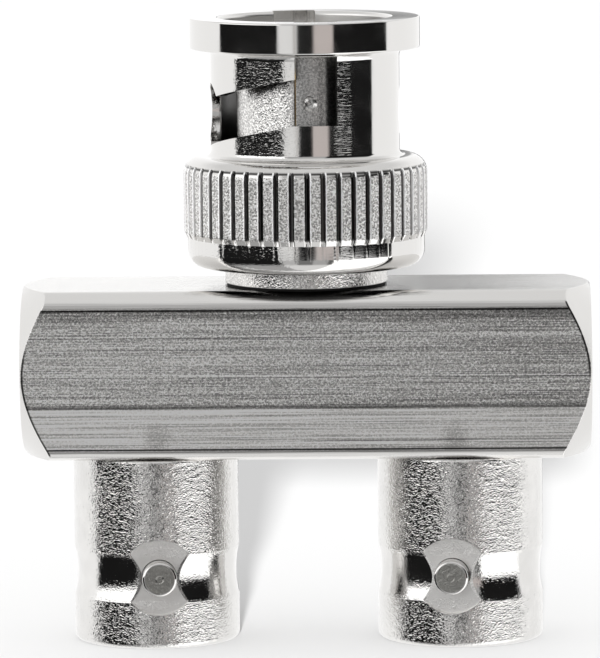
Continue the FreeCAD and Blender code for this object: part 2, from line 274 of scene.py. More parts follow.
world = bpy.data.worlds.new("studio")
bpy.context.scene.world = world
world.use_nodes = True
sky = world.node_tree
sky.nodes.clear()
direction = add_node("TexCoord", {}, tree=sky).outputs["Generated"]
parts = add_node("SeparateXYZ", {"Vector": direction}).outputs
azimuth = maths("ARCTAN2", parts["X"], times(parts["Y"], -1))
azimuth = times(azimuth, 180 / math.pi)
elevation = times(maths("ARCSINE", parts["Z"]), 180 / math.pi)
level_shade = by_angle(azimuth, [
    (-180, PAPER), (-92, DARK), (-25.5, WHITE_STRIP), (-9.6, WARM_STRIP), (-8.4, WHITE_STRIP),
    (-6.2, DARK), (10, PINK_STRIP), (29.6, DARK), (91, PAPER), (171, DARK)])
high_shade = by_angle(azimuth, [
    (-180, 0.2), (-179.2, PAPER), (-93, SOFTBOX), (-24, 0.5), (27, DARK), (93, PAPER), (178.9, 0.25)])
low_shade = by_angle(azimuth, [
    (-180, PAPER), (-93, DARK), (-24, 0.6), (-8, 0.22), (8, 0.5), (23, 0.12), (29, SOFTBOX),
    (93, PAPER)])
steep_shade = by_angle(azimuth, [
    (-180, PAPER), (-93, 0.45), (-24, 0.9), (27, SOFTBOX), (93, PAPER)])
above = between_angles(elevation, -0.5, 2.5)
below = between_angles(elevation, -7.8, -9.0)
steep = between_angles(elevation, -34, -45)
low_shade = mixed(steep, low_shade, steep_shade)
room = mixed(below, mixed(above, level_shade, high_shade), low_shade)
overhead = between_angles(elevation, 25, 42)
room = mixed(overhead, room, 0.85)
light_path = add_node("LightPath", {}, tree=sky)
soft_light = mixed(light_path.outputs["Is Diffuse Ray"], room, 0.85)
shown = mixed(light_path.outputs["Is Camera Ray"], soft_light, 1.0)
background = add_node("Background", {"Color": shown, "Strength": 1.0})
add_node("OutputWorld", {"Surface": background.outputs[0]})
print("studio has", len(sky.nodes), "nodes")

# %% [markdown]
# ## Floor and its shadow
#
# The floor is plain pale paper. A weak sun from just beside the camera throws the long soft shadow
# that the photograph shows on the right. It is hidden from reflections, because a lamp beside the
# camera would put a bright spot in the middle of every turned face.

# %% Floor and shadow lamp
floor_reach = 6.0
bpy.ops.mesh.primitive_plane_add(size=2 * floor_reach, location=(0, 0, 0))
floor = bpy.context.object
floor.name = "floor"
floor.visible_glossy = False
paper = bpy.data.materials.new("floor_paper")
paper.use_nodes = True
paper_shader = paper.node_tree.nodes["Principled BSDF"]
paper_shader.inputs["Base Color"].default_value = (0.74, 0.74, 0.74, 1)
paper_shader.inputs["Roughness"].default_value = 0.9
paper_shader.inputs["Specular IOR Level"].default_value = 0.1
floor.data.materials.append(paper)

lamp_data = bpy.data.lights.new("shadow_lamp", "SUN")
lamp_data.energy = 11.0
lamp_data.angle = math.radians(2.6)
lamp = bpy.data.objects.new("shadow_lamp", lamp_data)
bpy.context.scene.collection.objects.link(lamp)
lamp_azimuth = -0.9
lamp_elevation = 8.6
lamp.rotation_mode = "QUATERNION"
lamp.rotation_quaternion = toward(lamp_azimuth, lamp_elevation).to_track_quat("Z", "Y")
lamp.visible_glossy = False
shadow_only = bpy.data.collections.new("shadow_only")
shadow_only.objects.link(floor)
lamp.light_linking.receiver_collection = shadow_only
bpy.context.scene.view_settings.view_transform = "Standard"
print("floor and shadow lamp set")

# %% [markdown]
# ## Selecting
#
# A Blender operator acts on all that is selected. So each step lets go of everything first and then
# takes the one piece it works on, either whole or by the vertices that lie in a wanted place.

# %% Helpers for selecting


def let_go():
    """Ends edit mode and deselects everything, so an operator acts on the next piece alone."""
    if bpy.context.object and bpy.context.object.mode == "EDIT":
        bpy.ops.object.mode_set(mode="OBJECT")
    bpy.ops.object.select_all(action="DESELECT")


def take(piece):
    """Makes one piece the selected and active one."""
    let_go()
    piece.select_set(True)
    bpy.context.view_layer.objects.active = piece


@contextmanager
def editing(piece):
    """Edit mode on one piece with its whole mesh selected."""
    take(piece)
    bpy.ops.object.mode_set(mode="EDIT")
    bpy.ops.mesh.select_all(action="SELECT")
    yield
    bpy.ops.object.mode_set(mode="OBJECT")


def pick(piece, wanted):
    """Selects in edit mode the vertices of a piece whose place in mm is wanted, and counts them."""
    with editing(piece):
        bpy.ops.mesh.select_all(action="DESELECT")
    for vertex in piece.data.vertices:
        vertex.select = wanted(vertex.co / MM)
    count = sum(vertex.select for vertex in piece.data.vertices)
    bpy.ops.object.mode_set(mode="EDIT")
    return count


# %% [markdown]
# ## Drawing and turning
#
# Nearly every piece of a connector is turned on a lathe. The drawing of such a piece is half of its
# section: a chain of corners, each with its radius, its height and the rounding of its edge. The
# chain is drawn in edit mode by extruding one vertex from corner to corner, and Spin carries it
# once round the axis. Spinning is the right tool because it repeats what the lathe does, and the
# number of columns is free to be as fine as the polish needs.

# %% Helpers for turning
ARC_STEPS = 8
COLUMNS = 192


def rounded(corners):
    """Points of a section, in mm, from (radius, height) or (radius, height, rounding) corners."""
    corners = [(*corner, 0)[:3] for corner in corners]
    spots = [Vector((radius, 0, height)) for radius, height, _ in corners]
    count = len(spots)
    sides = [spots[(i + 1) % count] - spots[i] for i in range(count)]
    halves = [sides[i].angle(-sides[i - 1]) / 2 for i in range(count)]
    wanted = [corners[i][2] / math.tan(halves[i]) for i in range(count)]
    points = []
    for i, (_, _, rounding) in enumerate(corners):
        if rounding == 0:
            points.append(spots[i])
            continue
        # Two roundings on one side share it, so none runs into the next.
        room_before = 0.98 * sides[i - 1].length / (wanted[i - 1] + wanted[i])
        room_after = 0.98 * sides[i].length / (wanted[i] + wanted[(i + 1) % count])
        reach = wanted[i] * min(1, room_before, room_after)
        back = -sides[i - 1].normalized()
        onward = sides[i].normalized()
        centre = spots[i] + (back + onward).normalized() * (reach / math.cos(halves[i]))
        start = spots[i] + back * reach - centre
        end = spots[i] + onward * reach - centre
        axis = start.cross(end).normalized()
        turn = start.angle(end)
        for step in range(ARC_STEPS + 1):
            points.append(centre + Quaternion(axis, turn * step / ARC_STEPS) @ start)
    return points


def arc_radius(half, depth):
    """Radius of the arc that sinks by a depth in the middle of a chord of a half length."""
    return (half ** 2 + depth ** 2) / (2 * depth)


def hollow(radius, middle, half, depth, steps=14):
    """Corners of a shallow hollow of circular section, round a middle height of a cylinder."""
    curve = arc_radius(half, depth)
    corners = []
    for step in range(steps + 1):
        height = half * (2 * step / steps - 1)
        sink = math.sqrt(curve ** 2 - height ** 2) - (curve - depth)
        corners.append((radius - sink, middle + height))
    return corners


def draw_chain(name, points):
    """New mesh object with one closed chain of edges through points in mm."""
    let_go()
    bpy.ops.mesh.primitive_plane_add(size=MM, location=(0, 0, 0))
    piece = bpy.context.object
    piece.name = name
    bpy.ops.object.mode_set(mode="EDIT")
    bpy.ops.mesh.merge(type="CENTER")
    bpy.ops.transform.translate(value=points[0] * MM)
    for here, there in zip(points, points[1:] + points[:1]):
        bpy.ops.mesh.extrude_vertices_move(TRANSFORM_OT_translate={"value": (there - here) * MM})
    bpy.ops.mesh.select_all(action="SELECT")
    bpy.ops.mesh.remove_doubles(threshold=0.0005 * MM)
    return piece


def turned(name, corners, columns=COLUMNS):
    """A closed piece of revolution about Z, from the corners of its section in mm."""
    piece = draw_chain(name, rounded(corners))
    bpy.ops.mesh.spin(steps=columns, angle=2 * math.pi, center=(0, 0, 0), axis=(0, 0, 1))
    bpy.ops.mesh.select_all(action="SELECT")
    bpy.ops.mesh.remove_doubles(threshold=0.0005 * MM)
    bpy.ops.mesh.delete_loose(use_verts=True, use_edges=True, use_faces=False)
    bpy.ops.mesh.select_all(action="SELECT")
    bpy.ops.mesh.normals_make_consistent(inside=False)
    bpy.ops.object.mode_set(mode="OBJECT")
    return piece


def rod(radius, low, high, columns=COLUMNS, rounding=0):
    """Cylinder about Z between two heights in mm, for cutting. Its lower edge may be rounded."""
    corners = [(0, low), (radius, low, rounding), (radius, high), (0, high)]
    return turned("rod", corners, columns)


print("lathe ready: %d steps in a rounding, %d columns round" % (ARC_STEPS, COLUMNS))

# %% [markdown]
# ## Moving and cutting
#
# A finished piece has its object at the origin and its place in its mesh, as a CAD node has, so
# pieces are moved and turned in edit mode. What a mill or a drill takes away in the workshop is
# taken away here with a block or a rod and a Boolean modifier, which leaves the same crisp edges.

# %% Helpers for moving and cutting


def block(size, middle=(0, 0, 0)):
    """Box of a size round a middle, both in mm."""
    let_go()
    bpy.ops.mesh.primitive_cube_add(size=1, location=(0, 0, 0))
    piece = bpy.context.object
    with editing(piece):
        bpy.ops.transform.resize(value=[side * MM for side in size])
        bpy.ops.transform.translate(value=[offset * MM for offset in middle])
    return piece


def shift(piece, x=0.0, y=0.0, z=0.0):
    """Moves a piece's mesh by millimetres and leaves its object at the origin."""
    with editing(piece):
        bpy.ops.transform.translate(value=(x * MM, y * MM, z * MM))


def swing(piece, degrees, axis="Z"):
    """Turns a piece's mesh about an axis through the origin, by the right-hand rule."""
    turn = -math.radians(degrees)
    with editing(piece):
        bpy.ops.transform.rotate(value=turn, orient_axis=axis, center_override=(0, 0, 0))


def copy_of(piece, name):
    """A copy with a mesh of its own."""
    twin = piece.copy()
    twin.data = piece.data.copy()
    twin.name = name
    bpy.context.scene.collection.objects.link(twin)
    return twin


def carve(piece, tool, operation="DIFFERENCE"):
    """Cuts a piece with a tool, or keeps what they share, and takes the tool away."""
    take(piece)
    cut = piece.modifiers.new("carve", "BOOLEAN")
    cut.operation = operation
    cut.solver = "EXACT"
    cut.object = tool
    bpy.ops.object.modifier_apply(modifier=cut.name)
    bpy.data.objects.remove(tool)


print("blocks, rods and cuts ready")

# %% [markdown]
# ## Finishing a piece
#
# Every piece is mended and gets smooth shading between its sharp edges, because polished metal
# shows each facet. Then it is attached to the body it moves with, and the CAD node that it stands
# for is hidden.

# %% Helpers for finishing


def resize(piece, factor):
    """Resizes a piece's mesh about the origin."""
    with editing(piece):
        bpy.ops.transform.resize(value=(factor, factor, factor), center_override=(0, 0, 0))


def mend(piece):
    """Merges the slivers that a cut can leave."""
    with editing(piece):
        bpy.ops.mesh.remove_doubles(threshold=0.004 * MM)
        bpy.ops.mesh.dissolve_degenerate(threshold=0.002 * MM)


def polish(piece, angle=32):
    """Smooth shading between edges sharper than an angle, with flats that stay truly flat."""
    # The weighting by face area passes over faces this small, so it works on an enlarged mesh.
    mend(piece)
    resize(piece, 1 / MM)
    bpy.ops.object.shade_smooth_by_angle(angle=math.radians(angle))
    even = piece.modifiers.new("even", "WEIGHTED_NORMAL")
    even.keep_sharp = True
    bpy.ops.object.modifier_apply(modifier=even.name)
    resize(piece, MM)


def soften(piece, width, angle):
    """Breaks every edge sharper than an angle with a small bevel, in mm."""
    take(piece)
    edges = piece.modifiers.new("edges", "BEVEL")
    edges.width = width * MM
    edges.segments = 2
    edges.limit_method = "ANGLE"
    edges.angle_limit = math.radians(angle)
    bpy.ops.object.modifier_apply(modifier=edges.name)


def place(piece, node, body="adapter_body"):
    """Attaches a finished piece to its body and hides the CAD node that it stands for."""
    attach(piece, body)
    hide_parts(node)
    faces = len(piece.data.polygons)
    print("%-20s %6d faces, rides on %s" % (piece.name, faces, body))


print("finishing ready")

# %% [markdown]
# ## The square bar
#
# The real bar is cut from square stock, its long corners rounded, and each end turned to a blunt
# cone in the lathe. It is modelled in the same order: a cube, a bevel along the four long edges,
# and then the part of it that lies inside a turned barrel is kept. The turned barrel leaves the
# curved lines where the cones run out on the flats, which are hard to draw in any other way.

# %% Square bar
arris_radii = {1: 1.0, -1: 0.6}
end_face_radius = 4.78
end_cone_angle = 48.5
end_plug_radius = 3.2
end_plug_gap = 0.02
recess_depth = 1.5
broken_edge = 0.045

bar = block((bar_length, bar_side, bar_side))
bar.name = "square_bar"
bpy.ops.object.mode_set(mode="EDIT")
bpy.ops.mesh.select_mode(type="EDGE")
for upper, arris_radius in arris_radii.items():
    bpy.ops.mesh.select_all(action="DESELECT")
    bpy.ops.object.mode_set(mode="OBJECT")
    for edge in bar.data.edges:
        here, there = (bar.data.vertices[v].co for v in edge.vertices)
        corner = min(abs(here.y), abs(here.z), abs(there.y), abs(there.z)) > 0.499 * bar_side * MM
        edge.select = corner and abs(here.x - there.x) > bar_side * MM and here.z * upper > 0
    bpy.ops.object.mode_set(mode="EDIT")
    bpy.ops.mesh.bevel(offset=arris_radius * MM, segments=14, affect="EDGES")
bpy.ops.mesh.select_mode(type="VERT")

corner_radius = math.hypot(bar_side, bar_side) / 2
cone_run = (corner_radius - end_face_radius) / math.tan(math.radians(end_cone_angle))
half_length = bar_length / 2
barrel = turned("barrel", [
    (0, -half_length),
    (end_face_radius, -half_length),
    (corner_radius, cone_run - half_length),
    (corner_radius, half_length - cone_run),
    (end_face_radius, half_length),
    (0, half_length),
], columns=360)
swing(barrel, 90, "Y")
carve(bar, barrel, "INTERSECT")
mend(bar)
soften(bar, broken_edge, 24)
for side in (-1, 1):
    drill = rod(end_plug_radius + end_plug_gap, 0, 2 * recess_depth)
    shift(drill, z=half_length - recess_depth)
    swing(drill, 90 * side, "Y")
    carve(bar, drill)
shift(bar, z=bar_axis)
polish(bar, 20)
place(bar, "body_block")

# %% [markdown]
# ## End plugs
#
# A cross bore runs through the bar, and a disc pressed into each end closes it. The disc is turned
# with a small broken edge, so a fine dark ring shows where it meets the bar.

# %% End plugs
for side, place_name in ((-1, "left"), (1, "right")):
    plug = turned("end_disc_" + place_name, [
        (0, half_length - recess_depth),
        (end_plug_radius, half_length - recess_depth),
        (end_plug_radius, half_length - end_plug_gap, 0.12),
        (0, half_length - end_plug_gap),
    ])
    swing(plug, 90 * side, "Y")
    shift(plug, z=bar_axis)
    polish(plug)
    place(plug, "end_plug_" + place_name)

# %% [markdown]
# ## Jack shells
#
# Each shell is a tube with a shallow hollow turned round its studs, so that the nut of a mating
# plug clears the pressed metal. The hollow is an arc with a crisp edge above and below. Round each
# stud a flat is milled and a hole is drilled.

# %% Jack shells
shell_radius = 4.825
shell_bore_radius = 4.05
rear_bore_radius = 3.0
shell_tail_radius = 4.2
seat_level = 8.36
waist_level = 4.1
waist_half = 1.4
waist_depth = 0.18
stud_radius = 1.015
stud_hole_radius = stud_radius + 0.03
stud_foot = shell_bore_radius + 0.05
stud_level = 4.19
stud_reach = 5.5
pip_height = 0.05
pip_radius = 0.24
stud_turns = {"left": 4.0, "right": -6.5}
spot_radius = 2.2
spot_distance = shell_radius - 0.33
faces = {"front": 0, "back": 180}
shell_top = shell_high.z
shell_rear = bar_low.z


def jack_shell(name):
    """Turned shell on the Z axis, before its flats and holes."""
    return turned(name, [
        (shell_bore_radius, 0, 0.2),
        (shell_radius, 0, 0.35),
        *hollow(shell_radius, waist_level, waist_half, waist_depth),
        (shell_radius, shell_rear, 0.18),
        (shell_tail_radius, shell_rear),
        (shell_tail_radius, shell_top),
        (rear_bore_radius, shell_top),
        (rear_bore_radius, seat_level),
        (shell_bore_radius, seat_level),
    ], columns=288)


for name, x in jack_places.items():
    shell = jack_shell("shell_" + name)
    for facing in faces.values():
        for radius, near, rounding in ((spot_radius, spot_distance, 0.05), (stud_hole_radius, 2.0, 0)):
            cutter = rod(radius, near, 2 * shell_radius, 96, rounding)
            swing(cutter, 90, "X")
            shift(cutter, z=stud_level)
            swing(cutter, stud_turns[name] + facing)
            carve(shell, cutter)
    shift(shell, x=x)
    polish(shell, 13)
    place(shell, "jack_shell_" + name)

# %% [markdown]
# ## Bayonet studs
#
# A stud is a pin with a rounded edge and a small pip in the middle, left by the parting tool. One
# is turned and copied four times.

# %% Bayonet studs
stud = turned("bayonet_pin", [
    (0, stud_foot),
    (stud_radius, stud_foot),
    (stud_radius, stud_reach - pip_height, 0.17),
    (pip_radius, stud_reach - pip_height, 0.05),
    (pip_radius - 0.06, stud_reach, 0.03),
    (0, stud_reach),
], columns=64)
# The flat end of the stud gets the second material, inside the rounding of its edge.
for face in stud.data.polygons:
    middle = face.center / MM
    face.material_index = int(middle.z > stud_reach - 0.09 and middle.xy.length < 0.83)
swing(stud, 90, "X")
shift(stud, z=stud_level)
polish(stud)
for name, x in jack_places.items():
    for face, facing in faces.items():
        twin = copy_of(stud, "bayonet_pin_%s_%s" % (name, face))
        swing(twin, stud_turns[name] + facing)
        shift(twin, x=x)
        place(twin, "stud_%s_%s" % (name, face))
bpy.data.objects.remove(stud)

# %% [markdown]
# ## Inside the jacks
#
# The white insulator carries the gold socket that takes the plug's pin. Both are turned, and the
# socket is slit across its mouth so that its two sides can spring.

# %% Inside the jacks
nose_radius = 2.375
socket_radius = 1.05
socket_bore = 0.69
nose_level = span("jack_insulator_left")[0].z
socket_mouth = nose_level + 0.15
socket_foot = socket_mouth + 6
socket_top = span("jack_contact_left")[1].z
socket_depth = 4.2
socket_slit_width = 0.2
socket_slit_length = 3
tail_radius = 0.6
for name, x in jack_places.items():
    insulator = turned("white_nose_" + name, [
        (socket_radius + 0.05, nose_level),
        (nose_radius, nose_level, 0.15),
        (nose_radius, seat_level, 0.1),
        (rear_bore_radius, seat_level),
        (rear_bore_radius, shell_top),
        (tail_radius, shell_top),
        (tail_radius, socket_foot),
        (socket_radius + 0.05, socket_foot),
    ], columns=96)
    shift(insulator, x=x)
    polish(insulator)
    place(insulator, "jack_insulator_" + name)
    socket = turned("socket_" + name, [
        (socket_bore, socket_mouth, 0.08),
        (socket_radius, socket_mouth, 0.15),
        (socket_radius, socket_foot),
        (tail_radius, socket_foot),
        (tail_radius, socket_top),
        (0, socket_top),
        (0, socket_mouth + socket_depth),
        (socket_bore, socket_mouth + socket_depth),
    ], columns=64)
    carve(socket, block((4, socket_slit_width, 2 * socket_slit_length), (0, 0, socket_mouth)))
    shift(socket, x=x)
    polish(socket)
    place(socket, "jack_contact_" + name)

# %% [markdown]
# ## Plug body
#
# Only the neck of the plug body shows, as a thin ring between the bar and the nut. The spindle that
# the nut turns on and the groove for its ring are turned with it.

# %% Plug body
neck_radius = 4.73
foot_groove = 0.12
root_radius = 4.2
root_low = bar_high.z - 1.8
body_bore_radius = 2.0
spindle_radius = 4.2
ring_groove_radius = spindle_radius - 0.45
neck_top = nut_low.z - 0.05
tube_seat = neck_top + 0.5
tube_tail_radius = 3.4
ring_low, ring_high = span("retaining_ring")
spindle_top = span("plug_body")[1].z
body = turned("neck_and_spindle", [
    (body_bore_radius, root_low),
    (root_radius, root_low),
    (root_radius, bar_high.z),
    (neck_radius - foot_groove, bar_high.z),
    (neck_radius - foot_groove, bar_high.z + foot_groove),
    (neck_radius, bar_high.z + foot_groove, 0.03),
    (neck_radius, neck_top, 0.12),
    (spindle_radius, neck_top),
    (spindle_radius, ring_low.z),
    (ring_groove_radius, ring_low.z),
    (ring_groove_radius, ring_high.z),
    (spindle_radius, ring_high.z),
    (spindle_radius, spindle_top, 0.1),
    (tube_tail_radius, spindle_top),
    (tube_tail_radius, tube_seat),
    (body_bore_radius, tube_seat),
], columns=288)
polish(body)
place(body, "plug_body")

# %% [markdown]
# ## Outer contact
#
# The tube inside the nut is slit into four fingers that spring against the bore of a mating jack.
# Through the open channel of the nut one sees a slit and a small punched dimple, so the tube is
# turned and then cut with thin blades and two balls.

# %% Outer contact
tube_radius = 3.98
tube_bore = tube_radius - 0.6
tube_tail_bore = 2.7
tube_collar_radius = 4.7
gasket_bore = tube_radius - 0.2
tube_tip = span("outer_contact")[1].z
tube_base = spindle_top + 0.6
tube_web_top = tube_base + 0.5
gasket_top = span("plug_gasket")[1].z
groove_top = gasket_top + 0.1
finger_turn = -7.0
finger_length = 7.2
slit_width = 0.12
stake_turn = 5.2
stake_level = tube_tip - 3.62
stake_radius = 0.44
stake_depth = 0.15
tube = turned("finger_tube", [
    (tube_tail_bore, tube_seat),
    (tube_tail_radius, tube_seat),
    (tube_tail_radius, spindle_top),
    (tube_collar_radius, spindle_top),
    (tube_collar_radius, tube_base, 0.1),
    (gasket_bore, tube_base),
    (gasket_bore, groove_top),
    (tube_radius, groove_top, 0.05),
    (tube_radius, tube_tip, 0.25),
    (tube_bore, tube_tip, 0.25),
    (tube_bore, tube_web_top),
    (tube_tail_bore, tube_web_top),
], columns=288)
for turn in (finger_turn, finger_turn + 90):
    blade = block((slit_width, 12, 2 * finger_length), (0, 0, tube_tip))
    swing(blade, turn)
    carve(tube, blade)
ball_radius = arc_radius(stake_radius, stake_depth)
for turn in (stake_turn, stake_turn + 180):
    bpy.ops.mesh.primitive_ico_sphere_add(subdivisions=5, radius=ball_radius * MM, location=(0, 0, 0))
    ball = bpy.context.object
    shift(ball, y=stake_depth - tube_radius - ball_radius, z=stake_level)
    swing(ball, turn)
    carve(tube, ball)
polish(tube, 28)
place(tube, "outer_contact")

# %% [markdown]
# ## Inside the plug
#
# A white insulator fills the lower half of the tube, the gold pin stands in its middle, and a ring
# of silicone lies in the groove at the foot of the tube, where a mated jack presses on it.

# %% Inside the plug
cavity_floor = tube_tip - 5.3
core_bore_radius = 1.2
pin_root_radius = 1.0
pin_root_low = tube_seat + 1.6
pin_radius = 0.675
pin_tip_radius = 0.30
pin_cone_low = pin_high.z - 0.45
insulator = turned("white_core", [
    (core_bore_radius, tube_seat),
    (tube_tail_bore, tube_seat),
    (tube_tail_bore, tube_web_top),
    (tube_bore, tube_web_top),
    (tube_bore, cavity_floor, 0.12),
    (pin_root_radius, cavity_floor, 0.08),
    (pin_root_radius, pin_root_low),
    (core_bore_radius, pin_root_low),
], columns=128)
polish(insulator)
place(insulator, "plug_insulator")

pin = turned("centre_pin", [
    (0, pin_low.z),
    (tail_radius, pin_low.z),
    (tail_radius, tube_seat),
    (core_bore_radius, tube_seat),
    (core_bore_radius, pin_root_low),
    (pin_root_radius, pin_root_low),
    (pin_root_radius, cavity_floor),
    (pin_radius, cavity_floor),
    (pin_radius, pin_cone_low, 0.5),
    (pin_tip_radius, pin_high.z, 0.15),
    (0, pin_high.z),
], columns=64)
polish(pin, 40)
place(pin, "plug_pin")

gasket_radius = tube_radius + 0.55
gasket = turned("rubber_ring", [
    (gasket_bore, tube_base, 0.1),
    (gasket_radius, tube_base, 0.3),
    (gasket_radius, gasket_top, 0.35),
    (gasket_bore, gasket_top, 0.2),
], columns=128)
polish(gasket, 60)
place(gasket, "plug_gasket")

# %% [markdown]
# ## Wave spring
#
# The spring that pulls the nut back is a thin ring with three waves. It starts flat. The columns
# that share a height of the wave are then moved together, height by height. Pulling the nut forward
# flattens the waves.

# %% Wave spring
spring_low, spring_high = span("wave_spring")
spring_waves = 3
spring_columns = 96
spring_sheet = 0.2
spring_bore_radius = 4.25
spring_height = spring_high.z - spring_low.z
spring_sway = (spring_height - spring_sheet) / 2 - 0.002
sheet_low = (spring_low.z + spring_high.z - spring_sheet) / 2
sheet_high = sheet_low + spring_sheet
spring = turned("wavy_ring", [
    (spring_bore_radius, sheet_low, 0.04),
    (spring_high.x, sheet_low, 0.04),
    (spring_high.x, sheet_high, 0.04),
    (spring_bore_radius, sheet_high, 0.04),
], columns=spring_columns)


def wave_height(spot):
    """How far the wave lifts the spring at a spot, in mm."""
    return round(spring_sway * math.cos(spring_waves * math.atan2(spot.y, spot.x)), 4)


wave_heights = {wave_height(vertex.co / MM) for vertex in spring.data.vertices}
for lift in sorted(wave_heights):
    pick(spring, lambda spot: wave_height(spot) == lift)
    bpy.ops.transform.translate(value=(0, 0, lift * MM))
polish(spring, 40)
place(spring, "wave_spring")
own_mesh(spring)

# %% [markdown]
# ## Coupling nut
#
# The nut is one turned blank with a straight knurl, a rounded shoulder, a thin sleeve and a flange.
# The blank is spun with twelve columns to a tooth, so that the knurl can be pressed straight into its
# mesh: three neighbouring columns of each tooth are pushed inwards and become the floor of a
# groove. That gives every tooth the same few clean faces.

# %% Nut blank with its knurl
skirt_radius = 6.92
knurl_radius = 7.1
sleeve_radius = 5.5
flange_radius = 6.7
bore_radius = 4.9
rear_radius = 4.3
rear_level = nut_low.z
front_level = nut_high.z
ledge_level = rear_level + 1.45
knurl_bottom = rear_level + 1.73
shoulder = front_level - 8.04
shoulder_rounding = 1.0
flange_bottom = front_level - 1.8
teeth = 49
columns_per_tooth = 12
groove_depth = 0.33
tooth_end_bevel = 0.35

nut = turned("knurled_nut", [
    (rear_radius, rear_level, 0.15),
    (skirt_radius, rear_level, 0.95),
    (skirt_radius, knurl_bottom),
    (knurl_radius, knurl_bottom + tooth_end_bevel),
    (knurl_radius, shoulder, shoulder_rounding),
    (sleeve_radius, shoulder, 0.35),
    (sleeve_radius, flange_bottom, 0.48),
    (flange_radius, flange_bottom, 0.1),
    (flange_radius, front_level, 0.1),
    (bore_radius, front_level, 0.25),
    (bore_radius, ledge_level),
    (rear_radius, ledge_level),
], columns=teeth * columns_per_tooth)

groove_floor = knurl_radius - groove_depth
arc_start = shoulder - shoulder_rounding
column_step = 2 * math.pi / (teeth * columns_per_tooth)
arc_step = math.pi / 2 / ARC_STEPS
groove_rows = {
    knurl_bottom + tooth_end_bevel: groove_floor / knurl_radius,
    arc_start: groove_floor / knurl_radius,
    # The floor runs out over the first quarter of the shoulder's rounding.
    arc_start + shoulder_rounding * math.sin(arc_step): 0.955,
    arc_start + shoulder_rounding * math.sin(2 * arc_step): 0.975,
}


def in_groove(spot, level):
    """Whether a spot lies on the outside of the nut at a level, over the floor of a groove."""
    column = round(math.atan2(spot.y, spot.x) / column_step) % columns_per_tooth
    outside = spot.xy.length > skirt_radius + 0.01
    return outside and abs(spot.z - level) < 0.001 and column in (0, 1, columns_per_tooth - 1)


for level, scale in groove_rows.items():
    pressed = pick(nut, lambda spot: in_groove(spot, level))
    bpy.ops.transform.resize(value=(scale, scale, 1), center_override=(0, 0, 0))
    print("knurl: %d vertices pressed in at %.2f mm" % (pressed, level))
soften(nut, 0.04, 50)

# %% [markdown]
# ## Bayonet tracks
#
# A stud enters the nut through an open channel, climbs a ramp that goes a quarter of the way round
# and drops into a round seat. Each of the three is cut with its own tool: a bar, a strip that the
# Screw modifier winds round the axis, and a rod. The tracks come twice, half a turn apart.

# %% Bayonet tracks
channel_width = 2.46
channel_radius = 5.6
channel_depth = 5.96
channel_turn = 8.0
ramp_height = 2.68
ramp_pitch = 6.73
ramp_turn = 90.0
seat_radius = 1.7
seat_drop = 5.48
ramp_inner = bore_radius - 0.15
ramp_outer = sleeve_radius + 0.15
channel_floor = front_level - channel_depth
edge_turn = math.degrees(math.asin(channel_width / 2 / sleeve_radius))
ramp_fall = ramp_pitch * (ramp_turn - edge_turn) / 360
ramp_low = channel_floor + ramp_height / 2 - ramp_fall


def channel_tool():
    """Bar along the front of the bore, whose back is round."""
    tool = rod(channel_radius, channel_floor, front_level + 1, 240)
    carve(tool, block((channel_width, 8, 20), (0, -4, channel_floor + 5)), "INTERSECT")
    return tool


def ramp_tool():
    """Strip that climbs from the foot of the channel."""
    half = ramp_height / 2
    strip = draw_chain("ramp", [
        Vector((ramp_inner, 0, ramp_low - half)),
        Vector((ramp_outer, 0, ramp_low - half)),
        Vector((ramp_outer, 0, ramp_low + half)),
        Vector((ramp_inner, 0, ramp_low + half)),
    ])
    take(strip)
    wind = strip.modifiers.new("wind", "SCREW")
    wind.axis = "Z"
    wind.angle = math.radians(ramp_turn)
    wind.screw_offset = ramp_pitch * ramp_turn / 360 * MM
    wind.steps = 72
    wind.render_steps = 72
    wind.use_smooth_shade = False
    bpy.ops.object.modifier_apply(modifier=wind.name)
    with editing(strip):
        bpy.ops.mesh.select_all(action="DESELECT")
        bpy.ops.mesh.select_non_manifold()
        bpy.ops.mesh.edge_face_add()
        bpy.ops.mesh.select_all(action="SELECT")
        bpy.ops.mesh.normals_make_consistent(inside=False)
    swing(strip, -90 - ramp_turn)
    return strip


def seat_tool():
    """Rod through the wall at the top of the ramp."""
    tool = rod(seat_radius, ramp_inner, ramp_outer, 96)
    swing(tool, 90, "X")
    shift(tool, z=front_level - seat_drop)
    swing(tool, -ramp_turn)
    return tool


for track in (0, 180):
    for tool in (channel_tool(), ramp_tool(), seat_tool()):
        swing(tool, channel_turn + track)
        carve(nut, tool)
polish(nut, 20)
place(nut, "coupling_nut", body="nut")

# %% [markdown]
# ## Nickel plate
#
# Bright nickel follows every ripple of the metal below it. Two things make it look real: a fine
# orange peel, whose slopes of a few degrees throw sparks of the softboxes into the dark bands, and
# tool marks that run the way the tool went. Both are bump, worked out from Object coordinates in
# millimetres, so their scale is the same on every piece.

# %% Helpers for metal
NICKEL = (0.70, 0.69, 0.675)


def new_material(name):
    """Material with its shader and the coordinates of a point in mm."""
    material = bpy.data.materials.new(name)
    material.use_nodes = True
    tree = material.node_tree
    coordinates = add_node("TexCoord", {}, tree=tree).outputs["Object"]
    in_mm = add_node("VectorMath", {0: coordinates, "Scale": 1 / MM}, operation="SCALE")
    return material, tree.nodes["Principled BSDF"], in_mm.outputs[0]


def sides(point):
    """The x, y and z of a point, in mm, and its distance from the Z axis."""
    split = add_node("SeparateXYZ", {"Vector": point}).outputs
    x, y, z = split["X"], split["Y"], split["Z"]
    return x, y, z, distance(x, y)


def noise(point, size, stretch=(1, 1, 1), detail=2.0):
    """Noise with features of a size in mm, stretched along the axes."""
    scale = [1 / (size * along) for along in stretch]
    scaled = add_node("VectorMath", {0: point, 1: scale}, operation="MULTIPLY").outputs[0]
    node = add_node("TexNoise", {"Vector": scaled, "Scale": 1.0, "Detail": detail})
    return node.outputs["Fac"]


